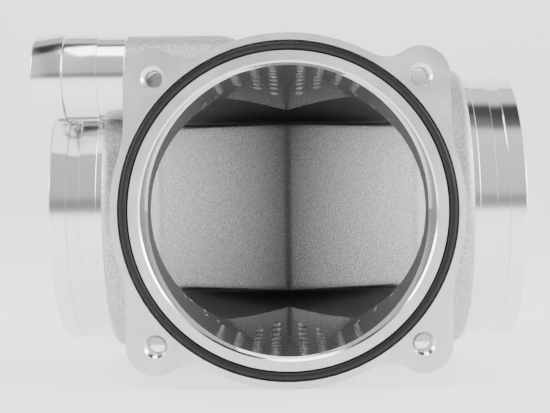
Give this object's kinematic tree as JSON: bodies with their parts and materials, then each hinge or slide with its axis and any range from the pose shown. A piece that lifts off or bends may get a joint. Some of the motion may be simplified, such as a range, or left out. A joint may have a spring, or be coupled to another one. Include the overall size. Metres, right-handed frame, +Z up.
{
  "type": "intake plenum",
  "caption": "Cast T-shaped intake plenum with a bolted throttle flange, face seal, inner flow splitter, two grooved hose outlets and a pressed-in hose fitting.",
  "frame": {"origin": "centre of the throttle bore on the flange's machined face", "axes": "+Y runs into the throat, +X runs towards the right outlet as seen looking into the throat, +Z is up"},
  "size_m": [0.1429, 0.1069, 0.1014],
  "materials": {
    "cast_aluminium": "sand-cast skin, with the flange face, bore and stubs machined bright",
    "seal_rubber": "smooth black moulded rubber",
    "turned_aluminium": "fine turned"
  },
  "bodies": {
    "root": {"plenum_casting": "cast_aluminium", "flange_o_ring": "seal_rubber", "hose_fitting": "turned_aluminium"}
  },
  "joints": []
}
